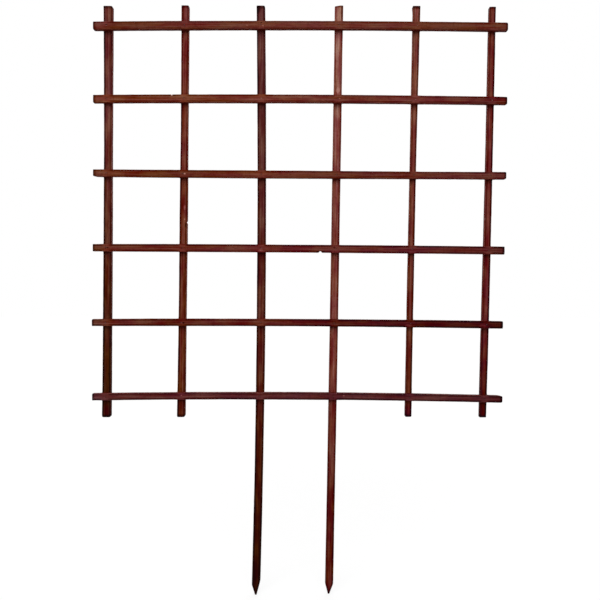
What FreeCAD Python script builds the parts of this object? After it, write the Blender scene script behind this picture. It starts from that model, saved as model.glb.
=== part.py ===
import FreeCAD, Part
import math
import os
import Sketcher

# An espalier trellis: six rails nailed across six uprights, two of which run on below the grid
# as pointed stakes. X runs along the rails from left to right, Z is up with zero at the lower
# stake's tip, and Y is zero on the plane where the rails' backs lie on the uprights' fronts,
# so the front of the trellis faces -Y. Sizes are in millimetres.

# The laths in the order in which they stand: rails from the bottom up, uprights from the left.
RAILS = ("bottom_rail", "fifth_rail", "fourth_rail", "third_rail", "second_rail", "top_rail")
UPRIGHTS = (
    "left_outer_upright",
    "left_inner_upright",
    "left_stake",
    "right_stake",
    "right_inner_upright",
    "right_outer_upright",
)
STAKES = ("left_stake", "right_stake")

# Sizes that all the laths share.
GRID = {
    "lath_thickness": 12.7,
    "upright_spacing": 157.0,
    "rail_spacing": 152.0,
    "side_overhang": 29.5,
    "top_overhang": 42.5,
    "bottom_overhang": 42.5,
    "stake_reach": 373.0,
    "eased_arris": 0.7,
    "corner_bevel": 1.5,
}

# Each rail's own shape and place. Slide is how far it lies to the right of the middle, shift how
# far it lies above its even place, slant how much its right end is the higher one, and bow how far
# its middle stands above the line between its ends.
RAIL_SIZES = {
    "top_rail": {
        "slide": 1.6, "shift": -1.2, "slant": 2.2, "bow": 2.5, "near_width": 14.9, "far_width": 15.0,
    },
    "second_rail": {
        "slide": 1.6, "shift": 2.1, "slant": 0.5, "bow": 2.3, "near_width": 14.5, "far_width": 14.4,
    },
    "third_rail": {
        "slide": 1.9, "shift": 2.5, "slant": -1.1, "bow": -0.4, "near_width": 13.8, "far_width": 13.6,
    },
    "fourth_rail": {
        "slide": -0.4, "shift": 1.7, "slant": -1.5, "bow": 1.0, "near_width": 14.8, "far_width": 15.4,
    },
    "fifth_rail": {
        "slide": -2.3, "shift": 0.3, "slant": -0.6, "bow": 2.3, "near_width": 13.7, "far_width": 14.1,
    },
    "bottom_rail": {
        "slide": -1.9, "shift": -1.0, "slant": -0.3, "bow": 4.2, "near_width": 13.4, "far_width": 12.6,
    },
}

# Each upright's own shape and place, measured the same way: slide is upward, shift is to the right,
# slant moves its head to the right of its foot, and bow moves its middle to the right.
UPRIGHT_SIZES = {
    "left_outer_upright": {
        "slide": -1.4, "shift": -3.1, "slant": 4.5, "bow": 1.0, "near_width": 16.1, "far_width": 16.3,
    },
    "left_inner_upright": {
        "slide": 0.4, "shift": -3.4, "slant": 7.7, "bow": 0.8, "near_width": 14.9, "far_width": 14.2,
    },
    "left_stake": {
        "slide": 0.0, "shift": -4.7, "slant": 5.9, "bow": 6.0, "near_width": 16.5, "far_width": 16.7,
    },
    "right_stake": {
        "slide": 3.0, "shift": -4.9, "slant": 13.3, "bow": 0.7, "near_width": 15.8, "far_width": 16.6,
    },
    "right_inner_upright": {
        "slide": 2.5, "shift": -1.0, "slant": 10.4, "bow": -0.8, "near_width": 11.6, "far_width": 13.2,
    },
    "right_outer_upright": {
        "slide": 1.6, "shift": -2.9, "slant": 10.9, "bow": 1.0, "near_width": 13.1, "far_width": 12.0,
    },
}

# The corners at which a lath's end is cut or worn away: how far back along the lath, and how deep
# into its end. The stakes' points are two such cuts, and what they leave between them is the tip.
WORN_CORNERS = {
    "top_rail_near_low": {"run": 3.2, "depth": 3.4},
    "top_rail_far_high": {"run": 3.4, "depth": 3.0},
    "third_rail_near_low": {"run": 8.5, "depth": 3.4},
    "bottom_rail_far_high": {"run": 14.0, "depth": 3.6},
    "left_outer_upright_far_high": {"run": 4.0, "depth": 3.2},
    "left_outer_upright_near_high": {"run": 4.4, "depth": 3.4},
    "left_inner_upright_far_high": {"run": 3.6, "depth": 3.2},
    "left_stake_far_high": {"run": 3.6, "depth": 3.0},
    "right_inner_upright_far_low": {"run": 3.4, "depth": 2.8},
}
STAKE_POINTS = {
    "left_stake": {"low_run": 21.0, "high_run": 38.0, "tip_offset": -1.7},
    "right_stake": {"low_run": 21.5, "high_run": 21.5, "tip_offset": -1.0},
}
TIP = {"stake_tip_width": 1.6}

# One brad holds each crossing. It is flattened wire with a T head and a chisel point, and the gun
# leaves its head set a little below the rail's face, at the bottom of a slot of its own shape.
BRAD = {
    "brad_length": 22.2,
    "brad_set": 0.4,
    "brad_shank_thickness": 1.05,
    "brad_width": 1.25,
    "brad_head_span": 2.0,
    "brad_head_depth": 0.7,
    "brad_point_length": 1.8,
    "brad_clearance": 0.05,
}

# Where the outline of a bowed lath has its points, as shares of its length from its middle.
STATION_SHARES = (-0.5, -0.375, -0.25, -0.125, 0.0, 0.125, 0.25, 0.375, 0.5)
# How far a cut's outline runs on past the wood, as a share of the cut.
OVERRUN_SHARE = 0.5


def fill_sheet(document):
    """Writes every driving size to the spreadsheet under its own name."""
    sheet = document.addObject("Spreadsheet::Sheet", "Sizes")
    tables = dict(GRID, **TIP, **BRAD)
    for group in (RAIL_SIZES, UPRIGHT_SIZES, WORN_CORNERS, STAKE_POINTS):
        for owner, own_sizes in group.items():
            tables.update({f"{owner}_{key}": value for key, value in own_sizes.items()})
    for row, (alias, value) in enumerate(tables.items(), start=1):
        sheet.set(f"A{row}", alias)
        sheet.set(f"B{row}", str(value))
        sheet.setAlias(f"B{row}", alias)
    document.recompute()


def lath_length(lath):
    """Gives a lath's length, which follows the grid that it has to span."""
    if lath in RAILS:
        bays = len(UPRIGHTS) - 1
        return f"({bays} * Sizes.upright_spacing + 2 * Sizes.side_overhang)"
    bays = len(RAILS) - 1
    length = f"{bays} * Sizes.rail_spacing + Sizes.top_overhang + Sizes.bottom_overhang"
    if lath in STAKES:
        length = f"{length} + Sizes.stake_reach"
    return f"({length})"


def middle_place(lath):
    """Gives X and Z of the middle of the line between a lath's ends."""
    if lath in RAILS:
        lower = f"Sizes.stake_reach + Sizes.bottom_overhang + Sizes.{lath}_shift"
        return f"Sizes.{lath}_slide", f"({lower} + {RAILS.index(lath)} * Sizes.rail_spacing)"
    from_middle = UPRIGHTS.index(lath) - (len(UPRIGHTS) - 1) / 2
    across = f"({from_middle} * Sizes.upright_spacing + Sizes.{lath}_shift)"
    foot = "0" if lath in STAKES else "Sizes.stake_reach"
    return across, f"({foot} + {lath_length(lath)} / 2 + Sizes.{lath}_slide)"


def drift(lath, share):
    """Gives how far the lath's middle line lies off its place at a share of its length."""
    return f"(Sizes.{lath}_slant * ({share}) + Sizes.{lath}_bow * (1 - 4 * ({share}) ^ 2))"


def half_width(lath, share):
    """Gives half of the lath's width at a share of its length."""
    near = f"Sizes.{lath}_near_width"
    far = f"Sizes.{lath}_far_width"
    return f"(({near} + {far}) / 4 + ({far} - {near}) / 2 * ({share}))"


def crossing(rail, upright):
    """Gives X and Z of the point where the middle lines of a rail and an upright cross."""
    rail_x, rail_z = middle_place(rail)
    upright_x, upright_z = middle_place(upright)
    rail_share = f"({upright_x} - {rail_x}) / {lath_length(rail)}"
    height = f"({rail_z} + {drift(rail, rail_share)})"
    upright_share = f"({height} - {upright_z}) / {lath_length(upright)}"
    return f"({upright_x} + {drift(upright, upright_share)})", height


def in_sketch(lath, along, across):
    """Turns a place along and across the lath into a sketch's two coordinates."""
    return (along, across) if lath in RAILS else (across, along)


def front_sketch(body, name, lift="0"):
    """Adds a sketch that looks at the trellis from its front, lifted towards the front."""
    sketch = body.newObject("Sketcher::SketchObject", name)
    plane = [part for part in body.Origin.OriginFeatures if part.Role == "XZ_Plane"][0]
    sketch.AttachmentSupport = [(plane, "")]
    sketch.MapMode = "FlatFace"
    sketch.setExpression("AttachmentOffset.Base.z", lift)
    return sketch


def pin_point(sketch, geometry, position, place):
    """Fixes one point of a sketch at two expressions."""
    for kind, expression in zip(("DistanceX", "DistanceY"), place):
        row = sketch.addConstraint(Sketcher.Constraint(kind, -1, 1, geometry, position, 1.0))
        sketch.setExpression(f"Constraints[{row}]", expression)


def draw_polygon(sketch, places):
    """Adds a closed outline whose corners lie at the given expressions."""
    first = sketch.GeometryCount
    count = len(places)
    turns = [2 * math.pi * number / count for number in range(count)]
    ring = [FreeCAD.Vector(math.cos(turn), math.sin(turn), 0) for turn in turns]
    for number in range(count):
        sketch.addGeometry(Part.LineSegment(ring[number], ring[(number + 1) % count]))
    for number, place in enumerate(places):
        line, next_line = first + number, first + (number + 1) % count
        sketch.addConstraint(Sketcher.Constraint("Coincident", line, 2, next_line, 1))
        pin_point(sketch, line, 1, place)


def lath_outline(lath):
    """Lists the corners of a bowed, tapered lath with bevelled ends, once round."""
    length = lath_length(lath)
    bevel = "Sizes.corner_bevel"
    corners = []
    for side, shares in ((1, STATION_SHARES), (-1, STATION_SHARES[::-1])):
        for share in shares:
            middle = drift(lath, share)
            edge = f"{middle} + {side} * {half_width(lath, share)}"
            if abs(share) < max(STATION_SHARES):
                corners.append(in_sketch(lath, f"{share} * {length}", edge))
                continue
            inward = -1 if share > 0 else 1
            on_end = in_sketch(lath, f"{share} * {length}", f"{edge} - {side} * {bevel}")
            on_edge = in_sketch(lath, f"{share} * {length} + {inward} * {bevel}", edge)
            corners += [on_end, on_edge] if share == shares[0] else [on_edge, on_end]
    return corners


def cut_corner(body, lath, name, end, side, run, depth):
    """Cuts a wedge off one corner of a lath's end, straight through its thickness."""
    edge = f"({drift(lath, end)} + {side} * {half_width(lath, end)})"
    end_face = f"({end} * {lath_length(lath)})"
    outward = 1 if end > 0 else -1
    past = OVERRUN_SHARE
    places = (
        (f"{end_face} + {outward * past} * {run}", f"{edge} - {side} * {1 + past} * {depth}"),
        (f"{end_face} - {outward} * {1 + past} * {run}", f"{edge} + {side * past} * {depth}"),
        (f"{end_face} + {outward * past} * {run}", f"{edge} + {side * past} * {depth}"),
    )
    sketch = front_sketch(body, f"{name}_outline")
    draw_polygon(sketch, [in_sketch(lath, along, across) for along, across in places])
    cut = body.newObject("PartDesign::Pocket", name)
    cut.Profile = sketch
    cut.Type = "ThroughAll"
    cut.Midplane = True


def cut_worn_corners(body, lath):
    """Cuts the lath's worn corners, each named by its end and by its low or high side."""
    for end_name, end in (("near", STATION_SHARES[0]), ("far", STATION_SHARES[-1])):
        for side_name, side in (("low", -1), ("high", 1)):
            name = f"{lath}_{end_name}_{side_name}"
            if name in WORN_CORNERS:
                cut_corner(body, lath, name, end, side, f"Sizes.{name}_run", f"Sizes.{name}_depth")


def cut_stake_point(body, lath):
    """Saws the stake's foot to a point with one cut from each side."""
    foot = STATION_SHARES[0]
    for side_name, side in (("low", -1), ("high", 1)):
        to_tip = f"({half_width(lath, foot)} - {side} * Sizes.{lath}_tip_offset"
        depth = f"{to_tip} - Sizes.stake_tip_width / 2)"
        run = f"Sizes.{lath}_{side_name}_run"
        cut_corner(body, lath, f"{lath}_{side_name}_saw_cut", foot, side, run, depth)


def cut_slots(body, lath, name, span, depth):
    """Cuts one slot at each of the lath's crossings, from its front, as deep as asked or through."""
    middle_x, middle_z = middle_place(lath)
    is_rail = lath in RAILS
    pairs = [(lath, other) for other in UPRIGHTS] if is_rail else [(other, lath) for other in RAILS]
    sketch = front_sketch(body, f"{name}_places", "Sizes.lath_thickness")
    half_span = f"({span} / 2 + Sizes.brad_clearance)"
    half_height = "(Sizes.brad_width / 2 + Sizes.brad_clearance)"
    for rail, upright in pairs:
        x, z = crossing(rail, upright)
        corners = [
            (f"{x} - {middle_x} + {right} * {half_span}", f"{z} - {middle_z} + {up} * {half_height}")
            for right, up in ((-1, -1), (1, -1), (1, 1), (-1, 1))
        ]
        draw_polygon(sketch, corners)
    slots = body.newObject("PartDesign::Pocket", name)
    slots.Profile = sketch
    if depth is None:
        slots.Type = "ThroughAll"
    else:
        slots.setExpression("Length", depth)


def cut_brad_slots(body, lath):
    """Makes room for the brads: rails are cut right through, uprights as deep as the points go."""
    shank = "Sizes.brad_shank_thickness"
    if lath in RAILS:
        cut_slots(body, lath, f"{lath}_shank_slots", shank, None)
        head_room = "Sizes.brad_set + Sizes.brad_head_depth"
        cut_slots(body, lath, f"{lath}_head_slots", "Sizes.brad_head_span", head_room)
    else:
        reach = "Sizes.brad_set + Sizes.brad_length - Sizes.lath_thickness + Sizes.brad_clearance"
        cut_slots(body, lath, f"{lath}_point_slots", shank, reach)


def build_lath(document, lath):
    """Builds one lath as it is made: sawn to shape, eased, worn or pointed, and bradded."""
    body = document.addObject("PartDesign::Body", lath)
    body.Label = lath
    outline = front_sketch(body, f"{lath}_outline")
    draw_polygon(outline, lath_outline(lath))
    blank = body.newObject("PartDesign::Pad", f"{lath}_blank")
    blank.Profile = outline
    blank.setExpression("Length", "Sizes.lath_thickness")
    document.recompute()
    arrises = [
        f"Edge{number}"
        for number, edge in enumerate(blank.Shape.Edges, start=1)
        if abs(edge.tangentAt(edge.FirstParameter).y) < math.sin(math.pi / 4)
    ]
    eased = body.newObject("PartDesign::Chamfer", f"{lath}_eased")
    eased.Base = (blank, arrises)
    eased.setExpression("Size", "Sizes.eased_arris")
    cut_worn_corners(body, lath)
    if lath in STAKES:
        cut_stake_point(body, lath)
    cut_brad_slots(body, lath)
    middle_x, middle_z = middle_place(lath)
    body.setExpression("Placement.Base.x", middle_x)
    body.setExpression("Placement.Base.y", "0" if lath in RAILS else "Sizes.lath_thickness")
    body.setExpression("Placement.Base.z", middle_z)
    return body


def build_brad(document):
    """Builds the one brad that every crossing repeats, with its head at zero and its point at +Y."""
    brad = document.addObject("PartDesign::Body", "brad")
    profile = brad.newObject("Sketcher::SketchObject", "brad_profile")
    plane = [part for part in brad.Origin.OriginFeatures if part.Role == "XY_Plane"][0]
    profile.AttachmentSupport = [(plane, "")]
    profile.MapMode = "FlatFace"
    right_side = (
        ("Sizes.brad_head_span / 2", "0"),
        ("Sizes.brad_head_span / 2", "Sizes.brad_head_depth"),
        ("Sizes.brad_shank_thickness / 2", "Sizes.brad_head_depth"),
        ("Sizes.brad_shank_thickness / 2", "Sizes.brad_length - Sizes.brad_point_length"),
    )
    left_side = [(f"-{x}", y) for x, y in reversed(right_side)]
    draw_polygon(profile, [*right_side, ("0", "Sizes.brad_length"), *left_side])
    flattened = brad.newObject("PartDesign::Pad", "brad_flattened")
    flattened.Profile = profile
    flattened.Midplane = True
    flattened.setExpression("Length", "Sizes.brad_width")
    return brad


def build_rail_brads(document, brad, rail):
    """Repeats the brad along one rail, one at each upright, as a group of separate solids."""
    copies = []
    for upright in UPRIGHTS:
        copy = document.addObject("App::Link", f"{rail}_brad_at_{upright}")
        copy.LinkedObject = brad
        x, z = crossing(rail, upright)
        copy.setExpression("Placement.Base.x", x)
        copy.setExpression("Placement.Base.y", "Sizes.brad_set - Sizes.lath_thickness")
        copy.setExpression("Placement.Base.z", z)
        copies.append(copy)
    group = document.addObject("Part::Compound", f"{rail}_brads")
    group.Label = f"{rail}_brads"
    group.Links = copies
    return group


def check_and_write(document, parts):
    """Stops on any failed object or bad solid, then writes each sub-part to its own file."""
    for item in document.Objects:
        if "Invalid" in item.State or "Error" in item.State:
            raise RuntimeError(f"{item.Name} failed: {item.State}")
    for part in parts:
        if part.Shape.isNull() or not part.Shape.isValid():
            raise RuntimeError(f"{part.Label} has no valid shape")
    os.makedirs("parts", exist_ok=True)
    for part in parts:
        part.Shape.exportStep(f"parts/{part.Label}.step")
        print(part.Label, len(part.Shape.Solids), "solids,", round(part.Shape.Volume), "mm3")


def main():
    document = FreeCAD.newDocument("EspalierTrellis")
    fill_sheet(document)
    parts = [build_lath(document, lath) for lath in RAILS + UPRIGHTS]
    brad = build_brad(document)
    document.recompute()
    parts += [build_rail_brads(document, brad, rail) for rail in RAILS]
    document.recompute()
    check_and_write(document, parts)


main()
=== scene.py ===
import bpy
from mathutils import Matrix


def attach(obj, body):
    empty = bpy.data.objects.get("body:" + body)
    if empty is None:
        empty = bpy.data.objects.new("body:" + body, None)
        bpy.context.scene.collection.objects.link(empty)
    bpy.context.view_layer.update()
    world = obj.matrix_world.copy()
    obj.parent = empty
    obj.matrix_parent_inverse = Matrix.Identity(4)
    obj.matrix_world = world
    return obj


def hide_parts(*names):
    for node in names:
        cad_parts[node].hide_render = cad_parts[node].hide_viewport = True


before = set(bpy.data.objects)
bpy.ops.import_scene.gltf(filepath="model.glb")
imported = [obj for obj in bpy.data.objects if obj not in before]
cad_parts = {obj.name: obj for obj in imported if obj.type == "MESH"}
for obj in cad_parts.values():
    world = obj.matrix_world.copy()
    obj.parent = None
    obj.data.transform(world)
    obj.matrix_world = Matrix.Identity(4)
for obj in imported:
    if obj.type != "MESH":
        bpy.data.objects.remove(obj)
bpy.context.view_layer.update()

import math

import bmesh
import bpy
from mathutils import Vector

# An espalier trellis: six rails, bradded to four short uprights and two long stakes behind them.
# Places and sizes are in millimetres until a mesh is made from them.
MM = 0.001

# STAKE_REACH is how far the stakes run below the feet of the short uprights, and BOTTOM_OVERHANG
# how far those feet stand below the middle of the bottom rail.
LATH_THICKNESS = 12.7
SAWN_WIDTH = 16.0
UPRIGHT_SPACING = 157.0
RAIL_SPACING = 152.0
RAIL_LENGTH = 844.0
UPRIGHT_LENGTH = 845.0
STAKE_LENGTH = 1218.0
STAKE_REACH = 373.0
BOTTOM_OVERHANG = 42.5

# ARRIS is the long edges' easing, END_CORNER the rounding of an end's corners, and WEAR what the
# unevenness takes off each sawn side, which is put on beforehand.
ARRIS = 0.7
END_CORNER = 1.5
WEAR = 0.80

# How each lath lies: slid along itself, set off its line, slanting from end to end and bowed at
# its middle.
LIES = {
    "top_rail": (1.6, -1.2, 2.2, 2.5),
    "second_rail": (1.6, 2.1, 0.5, 2.3),
    "third_rail": (1.9, 2.5, -1.1, -0.4),
    "fourth_rail": (-0.4, 1.7, -1.5, 1.0),
    "fifth_rail": (-2.3, 0.3, -0.6, 2.3),
    "bottom_rail": (-1.9, -1.0, -0.3, 4.2),
    "left_outer_upright": (-1.4, -3.1, 4.5, 1.0),
    "left_inner_upright": (0.4, -3.4, 7.7, 0.8),
    "left_stake": (0.0, -4.7, 5.9, 6.0),
    "right_stake": (3.0, -4.9, 13.3, 0.7),
    "right_inner_upright": (2.5, -1.0, 10.4, -0.8),
    "right_outer_upright": (1.6, -2.9, 10.9, 1.0),
}

# Sawn widths at even places from a rail's left end to its right end, or from a foot to a head.
WIDTHS = {
    "top_rail": (15.2, 15.5, 15.1, 15.0, 15.1, 15.0, 15.4),
    "second_rail": (14.6, 14.7, 15.1, 14.9, 14.8, 14.5, 14.1),
    "third_rail": (13.6, 14.0, 14.2, 14.3, 13.9, 13.2, 13.7),
    "fourth_rail": (14.0, 14.9, 15.1, 14.8, 15.4, 15.0, 15.2),
    "fifth_rail": (13.2, 14.1, 13.9, 13.8, 13.9, 14.6, 14.1),
    "bottom_rail": (13.2, 13.3, 13.3, 13.9, 13.3, 13.6, 13.3),
    "left_outer_upright": (17.1, 16.1, 16.2, 15.7, 15.2, 16.1, 17.7),
    "left_inner_upright": (15.9, 14.8, 14.4, 15.3, 13.8, 14.0, 14.8),
    "left_stake": (16.4, 16.6, 16.3, 16.4, 16.7, 17.1, 16.7, 16.4, 16.6, 16.7, 16.3),
    "right_stake": (15.9, 15.5, 15.5, 16.0, 15.9, 15.9, 15.9, 15.8, 16.1, 15.4, 16.1),
    "right_inner_upright": (12.4, 11.7, 12.1, 11.4, 11.4, 12.7, 13.9),
    "right_outer_upright": (12.6, 13.7, 13.3, 12.8, 12.3, 12.8, 12.0),
}

# How much further than its plain length each lath reaches at its near end and at its far end.
REACHES = {
    "top_rail": (0.8, 0.4),
    "second_rail": (0.9, 0.5),
    "third_rail": (1.4, 0.1),
    "fourth_rail": (0.0, 0.5),
    "fifth_rail": (0.1, 1.0),
    "bottom_rail": (0.2, 1.2),
    "left_outer_upright": (1.0, 1.2),
    "left_inner_upright": (1.8, 1.3),
    "left_stake": (0.0, 2.0),
    "right_stake": (0.0, 0.0),
    "right_inner_upright": (0.9, 0.6),
    "right_outer_upright": (0.3, 0.5),
}

# Corners worn further than the rest: how far along the lath, how deep, and whether cut straight.
# Near is a rail's left end or an upright's foot, low is a rail's underside or an upright's left.
WORN = {
    "top_rail_near_low": (3.0, 2.4, False),
    "top_rail_far_high": (3.6, 3.4, False),
    "top_rail_far_low": (2.6, 2.6, False),
    "second_rail_far_high": (2.4, 2.2, False),
    "second_rail_far_low": (2.6, 2.4, False),
    "third_rail_near_low": (7.0, 1.8, True),
    "third_rail_far_high": (3.0, 2.6, False),
    "third_rail_far_low": (3.6, 3.0, False),
    "fifth_rail_near_high": (2.8, 2.2, False),
    "fifth_rail_far_low": (2.4, 2.2, False),
    "bottom_rail_far_high": (7.0, 1.9, True),
    "bottom_rail_far_low": (4.0, 3.2, False),
    "left_outer_upright_far_high": (4.0, 3.2, False),
    "left_outer_upright_near_high": (4.4, 3.4, False),
    "left_outer_upright_near_low": (3.6, 2.8, False),
    "left_inner_upright_near_high": (5.0, 3.6, False),
    "left_inner_upright_near_low": (3.2, 2.6, False),
    "left_inner_upright_far_high": (3.6, 3.2, False),
    "left_stake_far_high": (3.6, 3.0, False),
    "right_stake_far_low": (1.8, 11.0, True),
    "right_inner_upright_far_low": (2.6, 2.0, False),
    "right_inner_upright_near_high": (3.0, 2.4, False),
    "right_inner_upright_near_low": (2.8, 2.2, False),
}

# Gaps where a splinter has gone: on which lath, where along it, from its low edge (-1) or from its
# high edge (1), how wide and how deep.
NOTCHES = (
    ("fourth_rail", 44.5, -1, 9.0, 4.0),
    ("second_rail", -260.4, 1, 2.8, 3.2),
    ("left_inner_upright", 776.0, 1, 6.5, 2.6),
)
WEDGE_LENGTH = 30.0

# A corner that the saw left standing out, told as the worn ones are, with its depth below zero.
FLARES = {"right_inner_upright_far_low": (14.0, -1.3, True)}

# Stake points: length of the cut on the left and on the right, and how far the tip stands to the
# right of the middle line.
POINTS = {"left_stake": (21.0, 28.0, 0.2), "right_stake": (21.5, 21.5, -1.0)}
TIP_WIDTH = 3.6

RAILS = ("bottom_rail", "fifth_rail", "fourth_rail", "third_rail", "second_rail", "top_rail")
UPRIGHTS = (
    "left_outer_upright",
    "left_inner_upright",
    "left_stake",
    "right_stake",
    "right_inner_upright",
    "right_outer_upright",
)

# The gun brads that hold each crossing: flattened wire with a T head and a chisel point, which
# keeps BRAD_CHISEL of the wire's thickness and width. BRAD_SET is how far the head lies below the
# face, BRAD_ROOM what its slot is larger by all round, and SLOT_REACH how far the tool that cuts
# the slot stands out in front of the head.
BRAD_LENGTH = 22.2
BRAD_SET = 0.4
BRAD_SHANK = 1.05
BRAD_WIDTH = 1.25
BRAD_HEAD_SPAN = 2.0
BRAD_HEAD_DEPTH = 0.7
BRAD_POINT = 1.8
BRAD_CHISEL = (0.12, 0.9)
BRAD_EASING = 0.18
BRAD_ROOM = 0.05
SLOT_REACH = 1.5

# Where the mesh has rings, from a lath's end: close together there, where the corners are shaped.
# Between them the lath has LONG_BAYS bays, with a ring every RING_GAP, and each side is in strips.
END_RINGS = (0.0, 0.4, 1.0, 2.0, 3.5, 6.0, 9.0, 14.0)
POINT_RINGS = (0.0, 1.0, 3.0, 7.0, 12.0, 17.0, 21.0, 30.0, 38.0, 48.0)
LONG_BAYS = 12
RING_GAP = 2.6
STRIPS = 4

# Two places this near are the same ring. An edge that runs along the lath is longer than LONG_EDGE,
# and one across a side is longer than SIDE_EDGE, as those of an eased arris aren't.
SAME_PLACE = 0.05
LONG_EDGE = 1.0
SIDE_EDGE = 3.0

# How the surface is worn inwards: at which points, how long and how wide the hollows are, and how
# deep. Each lath takes the pattern HOLLOW_STEP further on, so that no two are alike.
HOLLOWS = (
    ("free", 60.0, 24.0, 0.34),
    ("free", 9.0, 5.0, 0.12),
    ("arris", 12.0, 6.0, 0.30),
)
HOLLOW_STEP = (0.37, 0.11, 0.23)

# Where another lath lies on this one, REST_DEPTH of the wood stays flat for REST_REACH either way.
# Points within ARRIS_REACH of an edge wear as its arris does. An upright behind a rail guards the
# rail's arris, so a point there counts as up to GUARD further from the edge.
REST_REACH = 9.0
REST_DEPTH = 0.3
ARRIS_REACH = 0.8
GUARD = 5.0


def is_rail(name):
    return name in RAILS


def lath_length(name):
    if is_rail(name):
        return RAIL_LENGTH
    return STAKE_LENGTH if name in POINTS else UPRIGHT_LENGTH


def lath_ends(name):
    """Where the lath starts and ends along itself."""
    middle = lath_middle(name)[0]
    near_reach, far_reach = REACHES[name]
    half = lath_length(name) / 2
    return middle - half - near_reach, middle + half + far_reach


def lath_middle(name):
    """The middle of a lath: its place along itself and across itself."""
    slide, shift = LIES[name][:2]
    if is_rail(name):
        return slide, STAKE_REACH + BOTTOM_OVERHANG + shift + RAILS.index(name) * RAIL_SPACING
    foot = 0.0 if name in POINTS else STAKE_REACH
    across = (UPRIGHTS.index(name) - (len(UPRIGHTS) - 1) / 2) * UPRIGHT_SPACING + shift
    return foot + lath_length(name) / 2 + slide, across


def drift(name, along):
    """How far the lath's middle line has left its straight line."""
    slant, bow = LIES[name][2:]
    share = (along - lath_middle(name)[0]) / lath_length(name)
    return slant * share + bow * (1 - 4 * share * share)


def sawn_width(name, along):
    """The lath's width, taken between the two nearest measured places."""
    widths = WIDTHS[name]
    share = (along - lath_middle(name)[0]) / lath_length(name) + 0.5
    place = min(max(share, 0.0), 1.0) * (len(widths) - 1)
    before = min(int(place), len(widths) - 2)
    return widths[before] + (widths[before + 1] - widths[before]) * (place - before)


def corner_inset(distance, run, depth, straight):
    """How far a worn or cut corner has drawn the edge in, this far from the end."""
    if distance >= run:
        return 0.0
    left = 1 - max(distance, 0.0) / run
    return depth * (left if straight else 1 - math.sqrt(1 - left * left))


def edge_place(name, side, along):
    """Where the lath's low edge (side -1) or high edge (side 1) lies."""
    across = lath_middle(name)[1]
    start, end = lath_ends(name)
    half = sawn_width(name, along) / 2 + WEAR
    line = across + drift(name, along)
    side_word = "low" if side < 0 else "high"
    inset = 0.0
    for end_word, distance in (("near", along - start), ("far", end - along)):
        if end_word == "near" and name in POINTS:
            low_run, high_run, tip = POINTS[name]
            run = low_run if side < 0 else high_run
            depth = half + side * -tip - TIP_WIDTH / 2
            inset += corner_inset(distance, run, depth, True)
        else:
            corner = f"{name}_{end_word}_{side_word}"
            inset += corner_inset(distance, *WORN.get(corner, (END_CORNER, END_CORNER, False)))
            if corner in FLARES:
                inset += corner_inset(distance, *FLARES[corner])
    return line + side * (half - inset)


def crossing(rail, upright):
    """Where the middle lines of a rail and an upright cross: X and Z."""
    rail_z = lath_middle(rail)[1]
    upright_x = lath_middle(upright)[1]
    z = rail_z + drift(rail, upright_x)
    return upright_x + drift(upright, z), z


def crossings_of(name):
    """Where the laths of the other kind cross this one: X and Z of each."""
    if is_rail(name):
        return [crossing(name, upright) for upright in UPRIGHTS]
    return [crossing(rail, name) for rail in RAILS]


def resting_places(name):
    """Where along the lath the others lie on it."""
    return [x if is_rail(name) else z for x, z in crossings_of(name)]


def in_frame(name, along, depth, across):
    """A place on a lath as a point of the frame, in metres."""
    if is_rail(name):
        return Vector((along, depth, across)) * MM
    return Vector((across, depth, along)) * MM


def along_of(name, point):
    return (point.x if is_rail(name) else point.z) / MM


def across_of(name, point):
    return (point.z if is_rail(name) else point.x) / MM


def lath_depth(name):
    """The middle of the lath's thickness: rails lie in front of the uprights."""
    return -LATH_THICKNESS / 2 if is_rail(name) else LATH_THICKNESS / 2


# Working in edit mode


def deselect_all():
    for item in bpy.context.selected_objects:
        item.select_set(False)


def work_on(piece):
    deselect_all()
    piece.select_set(True)
    bpy.context.view_layer.objects.active = piece


def unpicked_mesh():
    """The mesh in edit mode, with no face and no edge selected."""
    mesh = bmesh.from_edit_mesh(bpy.context.edit_object.data)
    for face in mesh.faces:
        face.select_set(False)
    for edge in mesh.edges:
        edge.select_set(False)
    return mesh


def pick_vertices(wanted):
    """Selects the vertices whose place passes the test."""
    mesh = unpicked_mesh()
    for vertex in mesh.verts:
        vertex.select_set(wanted(vertex.co))
    mesh.select_flush(True)
    bmesh.update_edit_mesh(bpy.context.edit_object.data)


def pick_edges(wanted):
    """Selects the edges whose two ends pass the test."""
    mesh = unpicked_mesh()
    for edge in mesh.edges:
        if wanted(edge.verts[0].co, edge.verts[1].co):
            edge.select_set(True)
    bmesh.update_edit_mesh(bpy.context.edit_object.data)


# Laths


def ring_places(name):
    """Where the lath is cut across before it is shaped, from its near end to its far end."""
    start, end = lath_ends(name)
    first = [start + ring for ring in (POINT_RINGS if name in POINTS else END_RINGS)]
    last = [end - ring for ring in reversed(END_RINGS)]
    bay = (last[0] - first[-1]) / LONG_BAYS
    return first + [first[-1] + bay * count for count in range(1, LONG_BAYS)] + last


def run_of(name, a, b):
    """How far an edge runs along the lath, from one of its ends to the other."""
    return abs(along_of(name, a) - along_of(name, b))


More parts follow.
